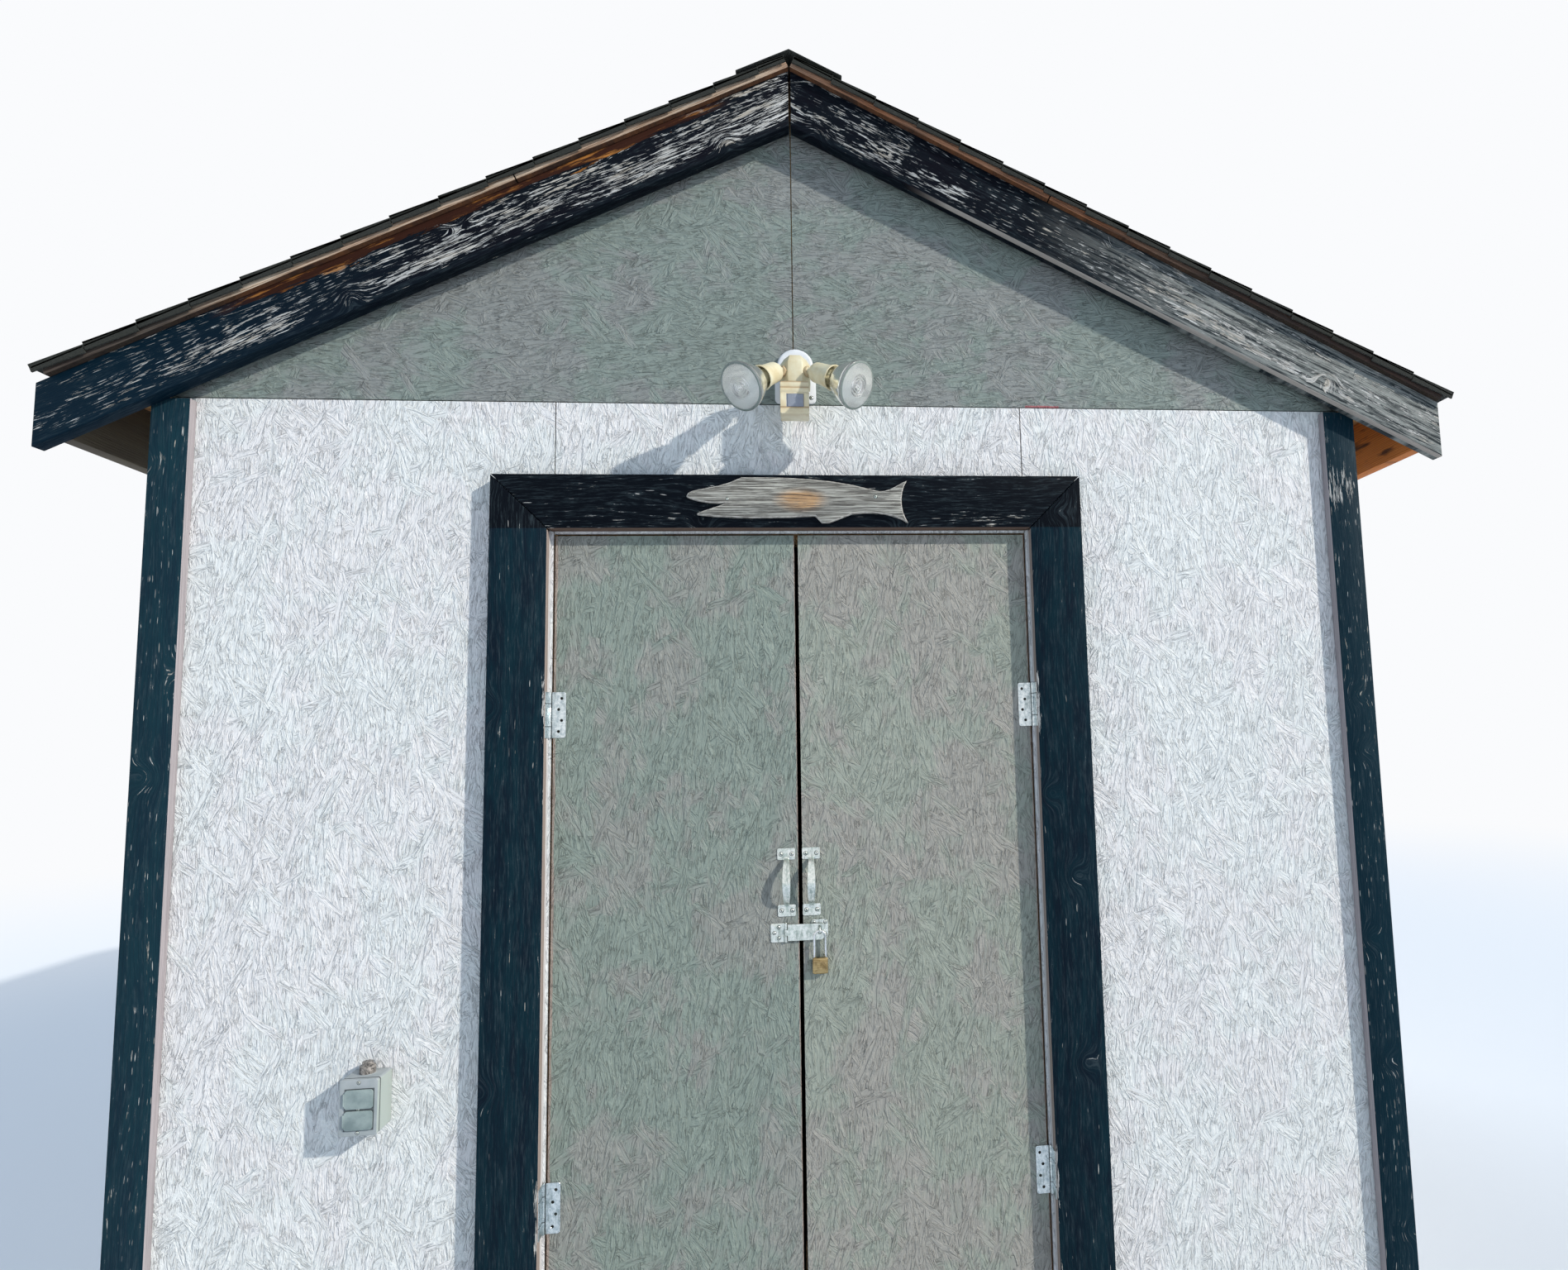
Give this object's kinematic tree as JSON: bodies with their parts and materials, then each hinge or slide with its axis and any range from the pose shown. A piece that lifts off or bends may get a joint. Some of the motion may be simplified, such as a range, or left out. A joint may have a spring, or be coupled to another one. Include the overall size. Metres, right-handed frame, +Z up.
{
  "type": "ice fishing hut",
  "caption": "Gabled timber hut on skids, clad in painted strand board, with an open-eaved shingle roof and a pair of hinged doors with hasp and padlock.",
  "frame": {"origin": "centre of the plan, on the bottom face of the middle skid, at ground level", "axes": "+Z up, +X to the right across the front, so the doors face -Y"},
  "size_m": [3.6458, 3.3936, 3.4749],
  "materials": {
    "white_board": "white painted strand board, brushed and flaking",
    "grey_board": "grey painted strand board",
    "leaf_board": "grey stained strand board",
    "black_trim": "black painted lumber, worn and flecked",
    "framing": "raw sawn lumber",
    "weathered_wood": "weathered raw lumber",
    "shingle": "asphalt shingle with mineral granules",
    "zinc": "zinc plated steel",
    "brass_lock": "satin brass with a steel shackle",
    "fish_wood": "weathered carved wood",
    "lamp_white": "white painted wall plate",
    "lamp_cream": "cream painted lamp housing",
    "lamp_glass": "ribbed pressed glass over a mirrored bowl",
    "outlet_grey": "grey weatherproof die-cast cover"
  },
  "bodies": {
    "hut": {"skids": "weathered_wood", "floor_joists": "framing", "floor_boards": "weathered_wood", "sole_plates": "framing", "wall_studs": "framing", "top_plates": "framing", "tie_plates": "framing", "door_header": "framing", "gable_studs": "framing", "front_wall": "white_board", "side_walls": "white_board", "back_wall": "white_board", "gable_walls": "grey_board", "ridge_board": "framing", "rafters": "framing", "roof_boards": "weathered_wood", "shingles": "shingle", "ridge_caps": "shingle", "barge_boards": "black_trim", "rake_strips": "weathered_wood", "eave_fascias": "weathered_wood", "end_corner_boards": "black_trim", "side_corner_boards": "black_trim", "door_casing": "black_trim", "door_stops": "framing", "fixed_hinge_leaves": "zinc", "fish_plaque": "fish_wood", "lamp_plate": "lamp_white", "lamp_body": "lamp_cream", "lamp_holders": "lamp_cream", "lamp_bulbs": "lamp_glass", "motion_sensor": "lamp_cream", "outlet_box": "outlet_grey", "outlet_lids": "outlet_grey"},
    "left_door": {"left_leaf": "leaf_board", "left_leaf_frame": "framing", "left_hinge_leaves": "zinc", "left_handle": "zinc", "hasp": "zinc", "padlock": "brass_lock"},
    "right_door": {"right_leaf": "leaf_board", "right_leaf_frame": "framing", "right_hinge_leaves": "zinc", "right_handle": "zinc", "staple_plate": "zinc"}
  },
  "joints": [
    {"name": "left_door_hinge", "type": "hinge", "parent": "hut", "child": "left_door", "pos_m": [-0.6145, -1.5385, 1.14], "axis": [0, 0, -1], "range_deg": [0, 90]},
    {"name": "right_door_hinge", "type": "hinge", "parent": "hut", "child": "right_door", "pos_m": [0.6145, -1.5385, 1.14], "axis": [0, 0, 1], "range_deg": [0, 90]}
  ],
  "couplings": [
    {"joint": "right_door_hinge", "follows": "left_door_hinge", "ratio": 1}
  ]
}
